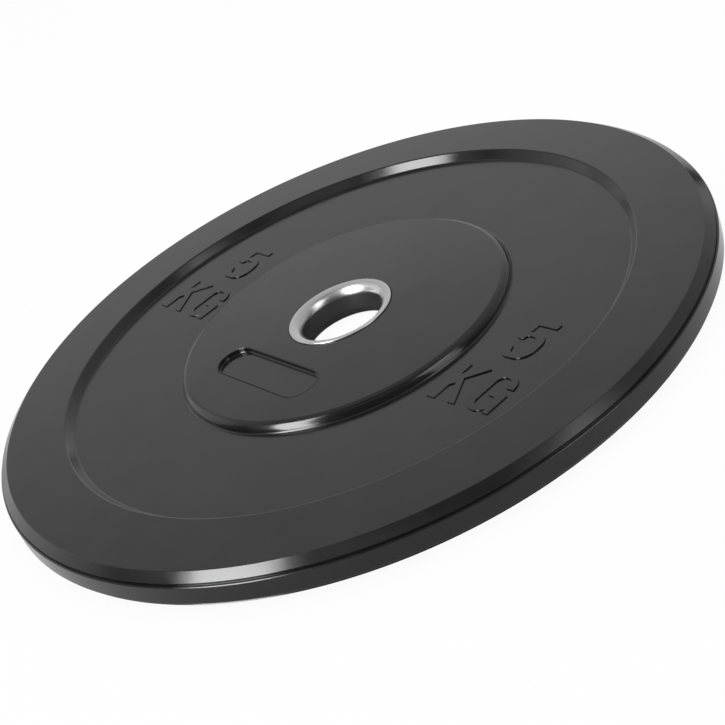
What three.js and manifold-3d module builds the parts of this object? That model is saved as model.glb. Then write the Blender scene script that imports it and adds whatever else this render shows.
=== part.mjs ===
// Bumper plate for a 50 mm bar: a moulded rubber disc on a steel hub sleeve with an anchor flange.
// Millimetres, +Z up. The plate lies flat, its axis is Z, and its lower rim face rests at Z 0.
// +X is the reading direction of the front face (+Z), and +Y is the top of that face.
import * as THREE from 'three';
import { mergeVertices } from 'three/addons/utils/BufferGeometryUtils.js';
import Module from 'manifold-3d';

// Rim
const plateDiameter = 450;
const rimThickness = 22;
const rimWidth = 44.5;        // tread to the inner edge of the rim's flat face
const rimShoulderRun = 5.15;  // the bevel between the flat face and the tread
const rimShoulderDrop = 3.7;
const rimInnerFillet = 2.5;   // where the flat face turns down to the web
const treadStep = 1.3;        // the tread stands this far outside the bevel's foot
const partingWidth = 1.6;     // the groove where the two mould halves met the tread ring
const partingDepth = 0.4;

// Web, the dished ring between rim and hub, which thins towards the hub
const webThicknessAtRim = 11.4;
const webThicknessAtHub = 8;
const dishBevelRun = 4.3;
const dishFootFillet = 1.2;

// Hub, the thick middle, whose crowned faces rise towards the sleeve
const hubFaceDiameter = 201;
const hubRecess = 1.8;        // the edge of its face below the rim's face
const hubShoulderRun = 4.1;
const hubShoulderDrop = 1.2;
const hubShoulderFillet = 4;
const hubWallDraft = 1;
const hubFootFillet = 1.2;

// Badge pocket, a blank recess with round ends below the bore on each face
const pocketLength = 87.5;
const pocketWidth = 24;
const pocketDepth = 2.9;
const pocketFloorFillet = 0.8;
const pocketMargin = 15.7;    // sleeve lip to the pocket's near edge

// Hub sleeve, turned steel with a rounded mouth at each end, as long as the rim is thick
const boreDiameter = 50.5;
const mouthRadius = 6.5;
const lipWidth = 0.95;        // the flat ring outside the mouth
const lipEdgeFillet = 0.4;
const lipStep = 0.8;          // the lip above the rubber round it

// Anchor flange, a perforated steel ring cast into the rubber
const flangeWidth = 37;
const flangeThickness = 3;
const flangeEdgeFillet = 0.6;
const flowHoleDiameter = 14;

// Fits and finish
const fitClearance = 0.3;     // between the steel and what it seats in
const edgeFillet = 0.8;
const cutOverrun = 2;
const weldDistance = 0.0001;

// Counts
const flowHoleCount = 12;
const roundSegments = 72;
const holeSegments = 14;
const filletSteps = 2;
const mouthSteps = 6;
const pocketSegments = 8;

// Places that follow from the sizes above
const midHeight = rimThickness / 2;
const hubFaceRadius = hubFaceDiameter / 2;
const hubFace = rimThickness - hubRecess;
const treadRadius = plateDiameter / 2;
const boreRadius = boreDiameter / 2;
const sleeveRadius = boreRadius + mouthRadius + lipWidth;
const seatRadius = sleeveRadius + fitClearance;
const hubSlope = (hubRecess - lipStep) / (hubFaceRadius - seatRadius);
const pocketDistance = sleeveRadius + pocketMargin + pocketWidth / 2;
const pocketFace = hubFace + hubSlope * (hubFaceRadius - pocketDistance);
const flangeRadius = seatRadius + flangeWidth;
const flowCircleRadius = (seatRadius + flangeRadius) / 2;
const flowHoleRadius = flowHoleDiameter / 2;

const wasm = await Module();
wasm.setup();

// A corner of an outline: its distance from the axis, its height, and its fillet.
function corner(radius, height, fillet = 0, steps = filletSteps) {
  return { at: new THREE.Vector2(radius, height), fillet, steps };
}

// Points of a closed outline. Each filleted corner becomes an arc that touches both its sides.
function filletedOutline(corners) {
  const points = [];
  corners.forEach(({ at, fillet, steps }, index) => {
    const before = corners.at(index - 1).at;
    const after = corners[(index + 1) % corners.length].at;
    if (fillet === 0) {
      points.push(at.clone());
      return;
    }
    const toBefore = before.clone().sub(at);
    const toAfter = after.clone().sub(at);
    const halfAngle = toBefore.angleTo(toAfter) / 2;
    const room = Math.min(toBefore.length(), toAfter.length()) / 2;
    const reach = Math.min(fillet / Math.tan(halfAngle), room);
    const radius = reach * Math.tan(halfAngle);
    const bisector = toBefore.clone().normalize().add(toAfter.clone().normalize());
    const centre = bisector.setLength(radius / Math.sin(halfAngle)).add(at);
    const start = toBefore.setLength(reach).add(at).sub(centre);
    const end = toAfter.setLength(reach).add(at).sub(centre);
    const sweep = start.angleTo(end) * Math.sign(start.cross(end));
    for (let step = 0; step <= steps; step += 1) {
      const spoke = start.clone().rotateAround(new THREE.Vector2(), (sweep * step) / steps);
      points.push(spoke.add(centre));
    }
  });
  return points;
}

// Turns a closed outline about Z. Its corners run anticlockwise, outwards along the bottom.
function turned(corners) {
  const points = filletedOutline(corners);
  points.push(points[0].clone());
  return new THREE.LatheGeometry(points, roundSegments).rotateX(Math.PI / 2);
}

// The corners of the upper half of an outline, repeated below the plate's middle.
function bothFaces(upperCorners) {
  const lowerCorners = upperCorners.map(({ at, fillet, steps }) =>
    corner(at.x, rimThickness - at.y, fillet, steps));
  return [...lowerCorners, ...upperCorners.reverse()];
}

function toSolid(geometry) {
  const bare = geometry.clone();
  bare.deleteAttribute('normal');
  bare.deleteAttribute('uv');
  const welded = mergeVertices(bare, weldDistance);
  return new wasm.Manifold(new wasm.Mesh({
    numProp: 3,
    vertProperties: new Float32Array(welded.attributes.position.array),
    triVerts: new Uint32Array(welded.index.array),
  }));
}

function toGeometry(solid) {
  const { vertProperties, triVerts } = solid.getMesh();
  const geometry = new THREE.BufferGeometry();
  geometry.setAttribute('position', new THREE.BufferAttribute(vertProperties, 3));
  geometry.setIndex(new THREE.BufferAttribute(triVerts, 1));
  geometry.computeVertexNormals();
  return geometry;
}

// One upright rod at each flow hole of the anchor flange.
function flowRods(radius, height) {
  return Array.from({ length: flowHoleCount }, (_, index) => {
    const angle = ((index + 0.5) / flowHoleCount) * 2 * Math.PI;
    const rod = new THREE.CylinderGeometry(radius, radius, height, holeSegments);
    rod.rotateX(Math.PI / 2);
    rod.translate(
      flowCircleRadius * Math.cos(angle), flowCircleRadius * Math.sin(angle), midHeight);
    return toSolid(rod);
  });
}

// The turned body of the disc, with the same form on both faces.
function discBody() {
  const hubShoulderRadius = hubFaceRadius + hubShoulderRun;
  const rimInnerRadius = treadRadius - rimWidth;
  const bevelFootRadius = treadRadius - treadStep;
  const bevelFoot = rimThickness - rimShoulderDrop;
  const grooveRadius = bevelFootRadius - partingDepth;
  const treadTop = bevelFoot - partingWidth;
  return turned(bothFaces([
    corner(seatRadius, rimThickness - lipStep),
    corner(hubFaceRadius, hubFace, hubShoulderFillet),
    corner(hubShoulderRadius, hubFace - hubShoulderDrop, hubShoulderFillet),
    corner(hubShoulderRadius + hubWallDraft, midHeight + webThicknessAtHub / 2, hubFootFillet),
    corner(rimInnerRadius - dishBevelRun, midHeight + webThicknessAtRim / 2, dishFootFillet),
    corner(rimInnerRadius, rimThickness, rimInnerFillet),
    corner(bevelFootRadius - rimShoulderRun, rimThickness, edgeFillet),
    corner(bevelFootRadius, bevelFoot),
    corner(grooveRadius, bevelFoot - partingDepth),
    corner(grooveRadius, treadTop),
    corner(treadRadius, treadTop, edgeFillet),
  ]));
}

// The space that the anchor flange takes in the rubber, less the rubber in its flow holes.
function flangeCavity() {
  const reach = flangeRadius + fitClearance;
  const halfHeight = flangeThickness / 2 + fitClearance;
  const ring = toSolid(turned([
    corner(sleeveRadius, midHeight - halfHeight),
    corner(reach, midHeight - halfHeight, flangeEdgeFillet),
    corner(reach, midHeight + halfHeight, flangeEdgeFillet),
    corner(sleeveRadius, midHeight + halfHeight),
  ]));
  const rodHeight = 2 * (halfHeight + cutOverrun);
  return flowRods(flowHoleRadius - fitClearance, rodHeight)
    .reduce((cavity, rod) => cavity.subtract(rod), ring);
}

// The cutter of the front pocket, as deep all over as the crowned face allows. Its floor has a
// fillet, and it runs past the face.
function pocketCutter() {
  const endRadius = pocketWidth / 2;
  const endCentre = pocketLength / 2 - endRadius;
  const outline = new THREE.Shape();
  outline.absarc(endCentre, 0, endRadius, -Math.PI / 2, Math.PI / 2);
  outline.absarc(-endCentre, 0, endRadius, Math.PI / 2, (3 * Math.PI) / 2);
  const cutter = new THREE.ExtrudeGeometry(outline, {
    depth: pocketDepth + cutOverrun - 2 * pocketFloorFillet,
    bevelSize: pocketFloorFillet,
    bevelThickness: pocketFloorFillet,
    bevelOffset: -pocketFloorFillet,
    bevelSegments: filletSteps,
    curveSegments: pocketSegments,
  });
  return cutter
    .rotateX(Math.atan(hubSlope))
    .translate(0, -pocketDistance, pocketFace - pocketDepth + pocketFloorFillet);
}

// The same cutter for the back face, which reads the right way up when the plate is turned
// round its Y axis.
function backPocketCutter() {
  return pocketCutter()
    .translate(0, 0, -midHeight)
    .rotateY(Math.PI)
    .translate(0, 0, midHeight);
}

function rubberDisc() {
  return toGeometry(toSolid(discBody())
    .subtract(flangeCavity())
    .subtract(toSolid(pocketCutter()))
    .subtract(toSolid(backPocketCutter())));
}

// A thick sleeve, level with both rim faces, whose mouths guide the bar into the bore.
function hubSleeve() {
  return turned(bothFaces([
    corner(boreRadius, rimThickness, mouthRadius, mouthSteps),
    corner(sleeveRadius, rimThickness, lipEdgeFillet),
  ]));
}

// The ring that locks the sleeve into the rubber, which flows through its holes in the mould.
function anchorFlange() {
  const lowFace = midHeight - flangeThickness / 2;
  const highFace = midHeight + flangeThickness / 2;
  const ring = toSolid(turned([
    corner(seatRadius, lowFace),
    corner(flangeRadius, lowFace, flangeEdgeFillet),
    corner(flangeRadius, highFace, flangeEdgeFillet),
    corner(seatRadius, highFace),
  ]));
  const rodHeight = flangeThickness + 2 * cutOverrun;
  return toGeometry(flowRods(flowHoleRadius, rodHeight)
    .reduce((flange, rod) => flange.subtract(rod), ring));
}

const rubber = new THREE.MeshStandardMaterial({ color: 0x232425, roughness: 0.35, metalness: 0 });
const polishedSteel = new THREE.MeshStandardMaterial({
  color: 0xc8cacc, roughness: 0.2, metalness: 1,
});
const platedSteel = new THREE.MeshStandardMaterial({
  color: 0x9a9da0, roughness: 0.45, metalness: 1,
});

function named(name, geometry, material) {
  const piece = new THREE.Mesh(geometry, material);
  piece.name = name;
  return piece;
}

const bumperPlate = new THREE.Group();
bumperPlate.add(
  named('rubber_disc', rubberDisc(), rubber),
  named('hub_sleeve', hubSleeve(), polishedSteel),
  named('anchor_flange', anchorFlange(), platedSteel),
);

export default bumperPlate;
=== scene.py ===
import math

import bpy
from mathutils import Matrix, Vector


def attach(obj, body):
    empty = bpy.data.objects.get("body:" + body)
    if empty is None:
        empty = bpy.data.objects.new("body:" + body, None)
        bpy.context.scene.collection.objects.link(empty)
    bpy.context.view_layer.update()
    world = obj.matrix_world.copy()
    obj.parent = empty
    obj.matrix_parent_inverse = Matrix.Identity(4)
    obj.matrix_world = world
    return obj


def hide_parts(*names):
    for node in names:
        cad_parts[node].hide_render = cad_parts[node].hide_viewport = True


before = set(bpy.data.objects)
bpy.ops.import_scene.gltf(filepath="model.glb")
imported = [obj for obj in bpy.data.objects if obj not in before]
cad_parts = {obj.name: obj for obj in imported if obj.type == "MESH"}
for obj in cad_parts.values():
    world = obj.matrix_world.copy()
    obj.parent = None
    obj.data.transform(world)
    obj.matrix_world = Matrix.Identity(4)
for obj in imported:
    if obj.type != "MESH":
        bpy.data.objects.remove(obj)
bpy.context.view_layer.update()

mm = 0.001
midHeight = 11               # the plate is the same above and below this height
samePlace = 0.01 * mm        # points closer than this count as one place
weldGap = 0.001 * mm         # points closer than this are merged
noiseSpan = (0.3, 0.7)       # most values of a noise lie between these


# An outline is drawn point by point, then its corners are rounded.

def startFresh():
    if bpy.context.object and bpy.context.object.mode != "OBJECT":
        bpy.ops.object.mode_set(mode="OBJECT")
    bpy.ops.object.select_all(action="DESELECT")


def selectOnly(piece):
    startFresh()
    piece.select_set(True)
    bpy.context.view_layer.objects.active = piece


def selectPoints(piece, wanted):
    bpy.ops.mesh.select_all(action="DESELECT")
    bpy.ops.object.mode_set(mode="OBJECT")
    for vert in piece.data.vertices:
        vert.select = wanted(vert.co)
    bpy.ops.object.mode_set(mode="EDIT")


def drawOutline(name, corners, arcSteps, closed=True):
    startFresh()
    bpy.ops.mesh.primitive_plane_add(size=mm)
    piece = bpy.context.object
    piece.name = name
    piece.data.name = name
    points = [Vector(corner[:3]) * mm for corner in corners]
    bpy.ops.object.mode_set(mode="EDIT")
    bpy.ops.mesh.select_mode(type="VERT")
    bpy.ops.mesh.select_all(action="SELECT")
    bpy.ops.mesh.merge(type="CENTER")
    bpy.ops.transform.translate(value=points[0])
    for before, here in zip(points, points[1:]):
        bpy.ops.mesh.extrude_region_move(TRANSFORM_OT_translate={"value": here - before})
    if closed:
        ends = (points[0], points[-1])
        selectPoints(piece, lambda co: min((co - end).length for end in ends) < samePlace)
        bpy.ops.mesh.edge_face_add()
    for index, corner in enumerate(corners):
        if corner[3] == 0:
            continue
        here = points[index]
        toBefore = points[index - 1] - here
        toAfter = points[(index + 1) % len(points)] - here
        reach = corner[3] * mm / math.tan(toBefore.angle(toAfter) / 2)
        selectPoints(piece, lambda co: (co - here).length < samePlace)
        bpy.ops.mesh.bevel(offset=reach, segments=arcSteps, affect="VERTICES")
    bpy.ops.mesh.select_all(action="SELECT")
    return piece


def turnRound(name, section, arcSteps, turnSteps):
    # a section's corner is (distance from the axis, height, fillet)
    piece = drawOutline(name, [(out, 0, high, fillet) for out, high, fillet in section], arcSteps)
    bpy.ops.mesh.spin(steps=turnSteps, angle=2 * math.pi, center=(0, 0, 0), axis=(0, 0, 1))
    closeMesh()
    return piece


def closeMesh():
    bpy.ops.mesh.select_all(action="SELECT")
    bpy.ops.mesh.remove_doubles(threshold=weldGap)
    bpy.ops.mesh.normals_make_consistent(inside=False)
    bpy.ops.object.mode_set(mode="OBJECT")


def bothFaces(upperSection):
    lowerSection = [(out, 2 * midHeight - high, fillet) for out, high, fillet in upperSection]
    return lowerSection + upperSection[::-1]


def joinPieces(pieces):
    startFresh()
    for piece in pieces:
        piece.select_set(True)
    bpy.context.view_layer.objects.active = pieces[0]
    bpy.ops.object.join()
    return bpy.context.object


def cutAway(piece, cutter):
    selectOnly(piece)
    bpy.ops.object.modifier_add(type="BOOLEAN")
    cut = piece.modifiers[-1]
    cut.operation = "DIFFERENCE"
    cut.solver = "EXACT"
    cut.object = cutter
    bpy.ops.object.modifier_apply(modifier=cut.name)
    selectOnly(cutter)
    bpy.ops.object.delete()


def turnOver(piece):
    selectOnly(piece)
    bpy.ops.transform.rotate(value=math.pi, orient_axis="Y", center_override=(0, 0, midHeight * mm))
    bpy.ops.object.transform_apply()


def smoothFinish(piece, sharpAngle):
    selectOnly(piece)
    bpy.ops.object.shade_smooth_by_angle(angle=math.radians(sharpAngle))
    bpy.ops.object.modifier_add(type="WEIGHTED_NORMAL")
    weighted = piece.modifiers[-1]
    weighted.keep_sharp = True
    bpy.ops.object.modifier_apply(modifier=weighted.name)


def finishPiece(piece, material):
    piece.data.materials.clear()
    piece.data.materials.append(material)
    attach(piece, "root")


# Materials

def newMaterial(name):
    material = bpy.data.materials.new(name)
    material.use_nodes = True
    return material, material.node_tree.nodes, material.node_tree.links


def addNoise(nodes, links, coordinates, grade):
    # grade: (scale, detail)
    noise = nodes.new("ShaderNodeTexNoise")
    noise.inputs["Scale"].default_value = grade[0]
    noise.inputs["Detail"].default_value = grade[1]
    links.new(coordinates, noise.inputs["Vector"])
    return noise.outputs["Fac"]


def addRange(nodes, links, value, low, high):
    spread = nodes.new("ShaderNodeMapRange")
    spread.inputs["From Min"].default_value = noiseSpan[0]
    spread.inputs["From Max"].default_value = noiseSpan[1]
    spread.inputs["To Min"].default_value = low
    spread.inputs["To Max"].default_value = high
    links.new(value, spread.inputs["Value"])
    return spread.outputs["Result"]


def addBump(nodes, links, height, distance, before=None):
    bump = nodes.new("ShaderNodeBump")
    bump.inputs["Distance"].default_value = distance
    links.new(height, bump.inputs["Height"])
    if before:
        links.new(before, bump.inputs["Normal"])
    return bump.outputs["Normal"]


def addColours(nodes, links, value, dark, light):
    ramp = nodes.new("ShaderNodeValToRGB")
    ramp.color_ramp.elements[0].position = noiseSpan[0]
    ramp.color_ramp.elements[0].color = dark
    ramp.color_ramp.elements[1].position = noiseSpan[1]
    ramp.color_ramp.elements[1].color = light
    links.new(value, ramp.inputs["Fac"])
    return ramp.outputs["Color"]


def addMath(nodes, links, operation, first, second):
    step = nodes.new("ShaderNodeMath")
    step.operation = operation
    for value, socket in ((first, step.inputs[0]), (second, step.inputs[1])):
        if isinstance(value, (int, float)):
            socket.default_value = value
        else:
            links.new(value, socket)
    return step.outputs["Value"]


def addReach(nodes, links, place):
    # distance from the plate's axis
    flatten = nodes.new("ShaderNodeVectorMath")
    flatten.operation = "MULTIPLY"
    flatten.inputs[1].default_value = (1, 1, 0)
    links.new(place, flatten.inputs[0])
    length = nodes.new("ShaderNodeVectorMath")
    length.operation = "LENGTH"
    links.new(flatten.outputs["Vector"], length.inputs[0])
    return length.outputs["Value"]


def addStep(nodes, links, reach, radius):
    # nothing inside the radius and one outside, over 1 mm
    step = nodes.new("ShaderNodeMapRange")
    step.inputs["From Min"].default_value = radius - 0.5 * mm
    step.inputs["From Max"].default_value = radius + 0.5 * mm
    links.new(reach, step.inputs["Value"])
    return step.outputs["Result"]


rubberFinish = {
    "dark": (0.009, 0.009, 0.0094, 1),
    "light": (0.014, 0.014, 0.0144, 1),
    "mottle": (38, 5),       # cloudy patches of the moulding, about 25 mm: scale, detail
    "grain": (1300, 3),      # fine grain of the mould's wall
    "wave": (42, 2),         # slow waves that make the highlights uneven
    "roughLow": 0.12,
    "roughHigh": 0.2,
    "grainDepth": 0.002 * mm,
    "waveDepth": 0.04 * mm,
    "specular": 0.32,
}


def makeRubber():
    material, nodes, links = newMaterial("satinRubber")
    shader = nodes["Principled BSDF"]
    place = nodes.new("ShaderNodeTexCoord").outputs["Object"]
    mottle = addNoise(nodes, links, place, rubberFinish["mottle"])
    grain = addNoise(nodes, links, place, rubberFinish["grain"])
    wave = addNoise(nodes, links, place, rubberFinish["wave"])
    links.new(addColours(nodes, links, mottle, rubberFinish["dark"], rubberFinish["light"]),
              shader.inputs["Base Color"])
    links.new(addRange(nodes, links, mottle, rubberFinish["roughLow"], rubberFinish["roughHigh"]),
              shader.inputs["Roughness"])
    waves = addBump(nodes, links, wave, rubberFinish["waveDepth"])
    links.new(addBump(nodes, links, grain, rubberFinish["grainDepth"], waves),
              shader.inputs["Normal"])
    shader.inputs["Specular IOR Level"].default_value = rubberFinish["specular"]
    return material


steelFinish = {
    "dark": (0.38, 0.38, 0.385, 1),
    "light": (0.54, 0.54, 0.545, 1),
    "boreShadeTone": (0.3, 0.3, 0.304, 1),        # painted shade: the bore's straight wall gets a darker steel, standing in for the dark it reflects
    "boreShadeEdge": 25.8 * mm,
    "lines": (2600, 4),      # turning marks, about 0.4 mm apart
    "lineDepth": 0.0015 * mm,
    "roughLow": 0.27,
    "roughHigh": 0.34,
}


def makeTurnedSteel():
    material, nodes, links = newMaterial("turnedSteel")
    shader = nodes["Principled BSDF"]
    place = nodes.new("ShaderNodeTexCoord").outputs["Object"]
    split = nodes.new("ShaderNodeSeparateXYZ")
    links.new(place, split.inputs["Vector"])
    reach = addReach(nodes, links, place)
    rings = nodes.new("ShaderNodeCombineXYZ")
    links.new(reach, rings.inputs["X"])
    links.new(split.outputs["Z"], rings.inputs["Y"])
    lines = addNoise(nodes, links, rings.outputs["Vector"], steelFinish["lines"])
    # painted shade: inside the bore's edge radius the steel's colour is darkened, standing in for
    # the dark the bore reflects
    boreShading = nodes.new("ShaderNodeMix")
    boreShading.data_type = "RGBA"
    boreShading.inputs["A"].default_value = steelFinish["boreShadeTone"]
    links.new(addStep(nodes, links, reach, steelFinish["boreShadeEdge"]), boreShading.inputs["Factor"])
    links.new(addColours(nodes, links, lines, steelFinish["dark"], steelFinish["light"]),
              boreShading.inputs["B"])
    links.new(boreShading.outputs["Result"], shader.inputs["Base Color"])
    links.new(addRange(nodes, links, lines, steelFinish["roughLow"], steelFinish["roughHigh"]),
              shader.inputs["Roughness"])
    links.new(addBump(nodes, links, lines, steelFinish["lineDepth"]), shader.inputs["Normal"])
    shader.inputs["Metallic"].default_value = 1
    return material


zincFinish = {
    "dark": (0.36, 0.37, 0.38, 1),
    "light": (0.55, 0.56, 0.57, 1),
    "spangle": (240, 3),
    "roughLow": 0.32,
    "roughHigh": 0.5,
    "depth": 0.01 * mm,
}


def makeZincPlate():
    material, nodes, links = newMaterial("zincPlate")
    shader = nodes["Principled BSDF"]
    place = nodes.new("ShaderNodeTexCoord").outputs["Object"]
    spangle = addNoise(nodes, links, place, zincFinish["spangle"])
    links.new(addColours(nodes, links, spangle, zincFinish["dark"], zincFinish["light"]),
              shader.inputs["Base Color"])
    links.new(addRange(nodes, links, spangle, zincFinish["roughLow"], zincFinish["roughHigh"]),
              shader.inputs["Roughness"])
    links.new(addBump(nodes, links, spangle, zincFinish["depth"]), shader.inputs["Normal"])
    shader.inputs["Metallic"].default_value = 1
    return material


rubber = makeRubber()
turnedSteel = makeTurnedSteel()
zincPlate = makeZincPlate()
print("materials made")


# Camera

camera = {
    "place": (0.6904, -0.36631, 0.42888),
    "turn": (57.823, 21.469, 49.131),
    "lens": 73.46,
}
startFresh()
bpy.ops.object.camera_add(
    location=camera["place"], rotation=[math.radians(angle) for angle in camera["turn"]])
photoCamera = bpy.context.object
photoCamera.name = "photoCamera"
photoCamera.data.lens = camera["lens"]
photoCamera.data.clip_start = 0.01
bpy.context.scene.camera = photoCamera
print("camera placed")


# Rubber disc, one moulding

disc = {
    "upperSection": [            # from the sleeve out to the tread: (radius, height, fillet)
        (33, 21.2, 0.3),         # hub face, which rises towards the sleeve
        (100.5, 20.2, 1),
        (104.6, 19, 5),          # hub shoulder
        (105.6, 15, 1.2),        # web
        (176.2, 16.7, 1.2),
        (180.5, 22, 1.6),        # rim face
        (218.55, 22, 0.8),
        (223.7, 18.3, 0.12),
        (223.3, 17.9, 0.12),     # parting groove
        (223.3, 16.7, 0.12),
        (225, 16.7, 0.7),        # tread
    ],
    "arcSteps": 5,
    "turnSteps": 288,
    "sharpAngle": 35,
}
pocket = {
    "endCentre": (31.75, -60.4),
    "section": [                 # from its middle: (distance, height above the hub face, fillet)
        (0, -2.9, 0),
        (11.9, -2.9, 0.8),
        (12, -0.12, 0),
        (12.3, 0.3, 0),
        (12.3, 2.8, 0),
        (0, 2.8, 0),
    ],
    "groove": [                  # fine line that the mould's insert leaves round the pocket
        (12.3, 0.3, 0), (12.45, -0.5, 0.05), (13.3, 0.3, 0),
    ],
    "slope": 1 / 67.5,           # the hub face's own
    "faceOnAxis": 21.69,         # height at which that slope would reach the axis
    "arcSteps": 4,
    "endSteps": 32,
}
cavity = {
    "section": [(32.5, 9.2, 0), (70.3, 9.2, 0.6), (70.3, 12.8, 0.6), (32.5, 12.8, 0)],
    "arcSteps": 3,
    "turnSteps": 96,
    "rodCircle": 51.5,           # the rubber that fills the flange's flow holes
    "rodRadius": 6.7,
    "rodHeight": 8,
    "rodSides": 32,
    "rodCount": 12,
}


def makePocketCutter(name, section, closed):
    endX, endY = pocket["endCentre"]
    corners = [(endX, endY - out, high, fillet) for out, high, fillet in section]
    cutter = drawOutline(name, corners, pocket["arcSteps"], closed)
    run = 2 * endX * mm
    for side in (1, -1):
        bpy.ops.mesh.spin(steps=pocket["endSteps"], angle=-math.pi,
                          center=(side * endX * mm, endY * mm, 0), axis=(0, 0, 1))
        bpy.ops.mesh.extrude_region_move(
            TRANSFORM_OT_translate={"value": (-side * run, 0, 0)})
    closeMesh()
    cutter.rotation_euler = (math.atan(pocket["slope"]), 0, 0)
    cutter.location = (0, 0, pocket["faceOnAxis"] * mm)
    bpy.ops.object.transform_apply()
    return cutter


def makeFlangeCutter():
    cutter = turnRound("flangeCutter", cavity["section"], cavity["arcSteps"], cavity["turnSteps"])
    rods = []
    startFresh()
    for index in range(cavity["rodCount"]):
        angle = (index + 0.5) / cavity["rodCount"] * 2 * math.pi
        spot = (cavity["rodCircle"] * mm * math.cos(angle),
                cavity["rodCircle"] * mm * math.sin(angle), midHeight * mm)
        bpy.ops.mesh.primitive_cylinder_add(
            vertices=cavity["rodSides"], radius=cavity["rodRadius"] * mm,
            depth=cavity["rodHeight"] * mm, location=spot)
        rods.append(bpy.context.object)
    cutAway(cutter, joinPieces(rods))
    return cutter


def makeDisc():
    piece = turnRound("moulded_disc", bothFaces(disc["upperSection"]),
                      disc["arcSteps"], disc["turnSteps"])
    cutAway(piece, makeFlangeCutter())
    for upsideDown in (False, True):
        for cutter in (makePocketCutter("pocketCutter", pocket["section"], False),
                       makePocketCutter("grooveCutter", pocket["groove"], True)):
            if upsideDown:
                turnOver(cutter)
            cutAway(piece, cutter)
    smoothFinish(piece, disc["sharpAngle"])
    finishPiece(piece, rubber)
    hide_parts("rubber_disc")
    print("disc", len(piece.data.polygons), "faces")


makeDisc()


# Hub sleeve

sleeve = {
    "upperSection": [(25.25, 22, 6.5), (32.7, 22, 0.4)],
    "arcSteps": 14,
    "turnSteps": 192,
    "sharpAngle": 50,
}


def makeSleeve():
    piece = turnRound("turned_sleeve", bothFaces(sleeve["upperSection"]),
                      sleeve["arcSteps"], sleeve["turnSteps"])
    smoothFinish(piece, sleeve["sharpAngle"])
    finishPiece(piece, turnedSteel)
    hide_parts("hub_sleeve")
    print("sleeve", len(piece.data.polygons), "faces")


makeSleeve()


# Weight marking, raised on the web beside the hub: plain number over plain unit

marking = {
    "height": 0.8,               # above the web
    "sunk": 0.6,                 # below the web's surface, so that no gap shows
    "edge": 0.22,                # rounding of the letters' top edge
    "edgeSteps": 3,
    "sharpAngle": 50,
    "webHeight": 15,             # where the web meets the hub
    "webStart": 105.6,
    "webSlope": 1.7 / 70.6,
    "arcSteps": 7,
    "right": {"unit": (114.8, -35.2), "number": (129.6, 6.4)},
    "left": {"unit": (-161, -35.1), "number": (-144, 6.4)},
    "letterK": [
        (0, 0, 0), (6.1, 0, 0), (6.1, 11.4, 0), (9, 14.4, 0), (17, 0, 0), (22.6, 0, 0),
        (11.3, 18.9, 0), (21.9, 30, 0), (14.7, 30, 0), (6.1, 21, 0), (6.1, 30, 0), (0, 30, 0),
    ],
    "letterG": [
        (47.9, 0, 0), (47.9, 15.4, 0), (36.9, 15.4, 0), (36.9, 12.3, 0), (41.6, 12.3, 0),
        (41.6, 3.6, 4), (32.3, 3.6, 4.5), (32.3, 27.2, 4.8), (42.7, 27.2, 4.8), (42.9, 20.1, 0),
        (47.8, 20.1, 0), (47.9, 30.4, 10), (25.8, 30.4, 10.8), (25.8, -0.3, 10.8),
        (40, -0.3, 6), (43.6, 2.8, 0), (43.9, 0, 0),
    ],
    "digit5": [
        (18.9, 32.3, 0), (2.2, 32.3, 0), (0, 16, 0), (3.9, 15.4, 0), (6, 18.9, 2), (14, 18.9, 4.2),
        (14, 4.1, 5.5), (5.6, 4.1, 2.2), (3.2, 9.3, 0), (-1, 8.4, 0), (0.4, 0, 6), (20.1, 0, 9.5),
        (20.1, 23.1, 9.5), (8, 23.1, 3), (4.6, 21.4, 0), (5.3, 28.2, 0), (18.9, 28.2, 0),
    ],
}


def makeLetter(name, outline, place):
    corners = [(x, y, 0, fillet) for x, y, fillet in outline]
    letter = drawOutline(name, corners, marking["arcSteps"])
    bpy.ops.mesh.edge_face_add()
    bpy.ops.mesh.normals_make_consistent(inside=False)
    depth = marking["height"] + marking["sunk"]
    bpy.ops.mesh.extrude_region_move(TRANSFORM_OT_translate={"value": (0, 0, -depth * mm)})
    closeMesh()
    bpy.ops.object.mode_set(mode="EDIT")
    selectPoints(letter, lambda co: co.z > -samePlace)
    bpy.ops.mesh.bevel(offset=marking["edge"] * mm, segments=marking["edgeSteps"], affect="EDGES")
    bpy.ops.object.mode_set(mode="OBJECT")
    selectOnly(letter)
    bpy.ops.transform.translate(value=(place[0] * mm, place[1] * mm, 0))
    bpy.ops.object.transform_apply()
    return letter


def makeBlock(side):
    places = marking[side]
    letters = [
        makeLetter("letterK", marking["letterK"], places["unit"]),
        makeLetter("letterG", marking["letterG"], places["unit"]),
        makeLetter("digit5", marking["digit5"], places["number"]),
    ]
    block = joinPieces(letters)
    outward = 1 if side == "right" else -1       # the web rises away from the hub
    block.rotation_euler = (0, -outward * math.atan(marking["webSlope"]), 0)
    foot = marking["webHeight"] - marking["webSlope"] * marking["webStart"]
    block.location = (0, 0, (foot + marking["height"]) * mm)
    bpy.ops.object.transform_apply()
    return block


def makeMarking(name, turned):
    piece = joinPieces([makeBlock("right"), makeBlock("left")])
    piece.name = name
    piece.data.name = name
    if turned:
        turnOver(piece)
    smoothFinish(piece, marking["sharpAngle"])
    finishPiece(piece, rubber)
    print(name, len(piece.data.polygons), "faces")


makeMarking("front_marking", False)
makeMarking("back_marking", True)


# Anchor flange: the solid's own shape, plated

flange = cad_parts["anchor_flange"]
flange.data.materials.clear()
flange.data.materials.append(zincPlate)
print("flange plated")


# Studio

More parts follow.
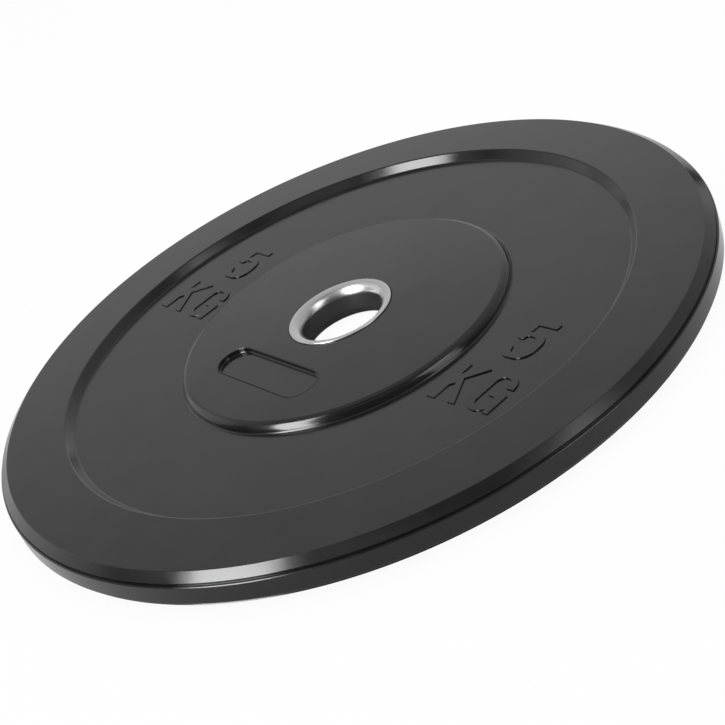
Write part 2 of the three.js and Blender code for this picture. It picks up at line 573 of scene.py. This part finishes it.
studio = {
    "floorSize": 8,
    "floorDrop": 0.4 * mm,      # below the plate, so that the two surfaces don't meet
    "floorColour": (0.92, 0.92, 0.92, 1),
    "floorRough": 0.9,
    "whiteShare": 0.94,         # how much of the floor is plain white to the camera
    "floorPaintedShadow": {             # painted shadow: the gloss sees the floor's glow dimmed under the plate, standing in for its shadow: distance, glow
        "near": (0.03, 0.03), "far": (0.24, 0.9),
    },
    "fill": 0.6,                # the room's own light
    "brightSide": (-0.719, 0.667, 0.194),       # the gloss sees the room brightest there
    "roomShade": [(0, 0.12), (0.4, 0.7), (0.82, 0.73), (1, 1)],   # from its side to that one
    "lampDistance": 1.5,
    "softbox": {                # lights the colours; ends of the lamp as azimuth, elevation
        "from": (-60, 50), "to": (120, 50), "width": 1.6, "radiance": 0.9,
    },
    "strips": {                 # lamps that only the gloss shows
        "leftStrip": {"from": (-113, 61), "to": (-74, -4), "width": 0.42, "radiance": 23},
        "leftPanel": {"from": (-172, 18), "to": (-134, 18), "width": 1.1, "radiance": 0.55},
        "frontStrip": {"from": (-66, 59), "to": (-16, 59), "width": 0.12, "radiance": 1},
        "farStrip": {"from": (8, 48), "to": (42, 48), "width": 0.28, "radiance": 2},
        "rightStrip": {"from": (17, -2), "to": (19, 57), "width": 0.5, "radiance": 3},
    },
    "sideFlag": {               # black card that darkens the gloss
        "from": (105, 2), "to": (122, 2), "width": 0.3,
        "colour": (0.01, 0.01, 0.01, 1), "rough": 0.9, "specular": 0.1,
    },
}


def toward(azimuth, elevation):
    side = math.cos(math.radians(elevation))
    return Vector((side * math.cos(math.radians(azimuth)), side * math.sin(math.radians(azimuth)),
                   math.sin(math.radians(elevation)))) * studio["lampDistance"]


def placeBetween(thing, ends):
    # the lamp or card faces the plate, its length along Y from one end to the other
    first = toward(*ends["from"])
    last = toward(*ends["to"])
    middle = (first + last) / 2
    out = middle.normalized()
    along = (last - first).normalized()
    thing.location = middle
    thing.rotation_euler = Matrix((along.cross(out), along, out)).transposed().to_euler()
    thing.visible_camera = False
    return (last - first).length


def addLamp(name, setting):
    startFresh()
    bpy.ops.object.light_add(type="AREA")
    lamp = bpy.context.object
    lamp.name = name
    length = placeBetween(lamp, setting)
    lamp.data.shape = "RECTANGLE"
    lamp.data.size = setting["width"]
    lamp.data.size_y = length
    lamp.data.energy = setting["radiance"] * math.pi * setting["width"] * length
    return lamp


def addFlag():
    setting = studio["sideFlag"]
    startFresh()
    bpy.ops.mesh.primitive_plane_add(size=1)
    card = bpy.context.object
    card.name = "sideFlag"
    length = placeBetween(card, setting)
    card.scale = (setting["width"], length, 1)
    card.visible_diffuse = False
    card.visible_shadow = False
    material, nodes, links = newMaterial("flagBlack")
    shader = nodes["Principled BSDF"]
    shader.inputs["Base Color"].default_value = setting["colour"]
    shader.inputs["Roughness"].default_value = setting["rough"]
    shader.inputs["Specular IOR Level"].default_value = setting["specular"]
    card.data.materials.append(material)


def addRayMask(nodes, links):
    # one for camera, glossy and transmission rays, then one for camera rays only
    rays = nodes.new("ShaderNodeLightPath").outputs
    mirrored = addMath(nodes, links, "MAXIMUM", rays["Is Glossy Ray"], rays["Is Transmission Ray"])
    return addMath(nodes, links, "MAXIMUM", rays["Is Camera Ray"], mirrored), rays["Is Camera Ray"]


def addShade(nodes, links, value, start, end):
    # start and end: (value, glow), with an even run between them
    shade = nodes.new("ShaderNodeMapRange")
    shade.inputs["From Min"].default_value = start[0]
    shade.inputs["From Max"].default_value = end[0]
    shade.inputs["To Min"].default_value = start[1]
    shade.inputs["To Max"].default_value = end[1]
    links.new(value, shade.inputs["Value"])
    return shade.outputs["Result"]


def makeFloor():
    startFresh()
    bpy.ops.mesh.primitive_plane_add(
        size=studio["floorSize"], location=(0, 0, -studio["floorDrop"]))
    floor = bpy.context.object
    floor.name = "floor"
    material, nodes, links = newMaterial("floorWhite")
    shader = nodes["Principled BSDF"]
    shader.inputs["Base Color"].default_value = studio["floorColour"]
    shader.inputs["Roughness"].default_value = studio["floorRough"]
    seen, fromCamera = addRayMask(nodes, links)
    # painted shadow: the floor's glow rises with distance from the plate's axis, so the gloss sees
    # it dark under the plate
    reach = addReach(nodes, links, nodes.new("ShaderNodeTexCoord").outputs["Object"])
    shade = addShade(nodes, links, reach,
                     studio["floorPaintedShadow"]["near"], studio["floorPaintedShadow"]["far"])
    glow = nodes.new("ShaderNodeEmission")
    links.new(addMath(nodes, links, "MAXIMUM", fromCamera, shade), glow.inputs["Strength"])
    blend = nodes.new("ShaderNodeMixShader")
    links.new(addMath(nodes, links, "MULTIPLY", seen, studio["whiteShare"]), blend.inputs["Fac"])
    links.new(shader.outputs["BSDF"], blend.inputs[1])
    links.new(glow.outputs["Emission"], blend.inputs[2])
    links.new(blend.outputs["Shader"], nodes["Material Output"].inputs["Surface"])
    floor.data.materials.append(material)


def makeRoom():
    world = bpy.data.worlds.new("room")
    bpy.context.scene.world = world
    world.use_nodes = True
    nodes, links = world.node_tree.nodes, world.node_tree.links
    back = nodes["Background"]
    back.inputs["Color"].default_value = (1, 1, 1, 1)
    seen, fromCamera = addRayMask(nodes, links)
    side = nodes.new("ShaderNodeVectorMath")
    side.operation = "DOT_PRODUCT"
    side.inputs[1].default_value = studio["brightSide"]
    links.new(nodes.new("ShaderNodeTexCoord").outputs["Generated"], side.inputs[0])
    ramp = nodes.new("ShaderNodeValToRGB")
    stops = ramp.color_ramp.elements
    while len(stops) < len(studio["roomShade"]):
        stops.new(0.5)
    for stop, (share, glow) in zip(stops, studio["roomShade"]):
        stop.position = share
        stop.color = (glow, glow, glow, 1)
    links.new(side.outputs["Value"], ramp.inputs["Fac"])
    strength = nodes.new("ShaderNodeMix")
    strength.inputs["A"].default_value = studio["fill"]
    links.new(seen, strength.inputs["Factor"])
    shown = addMath(nodes, links, "MAXIMUM", fromCamera, ramp.outputs["Color"])
    links.new(shown, strength.inputs["B"])
    links.new(strength.outputs["Result"], back.inputs["Strength"])


makeFloor()
makeRoom()
addFlag()
addLamp("softbox", studio["softbox"]).visible_glossy = False
for lampName, setting in studio["strips"].items():
    addLamp(lampName, setting).visible_diffuse = False
bpy.context.scene.view_settings.view_transform = "Standard"
print("studio lit")
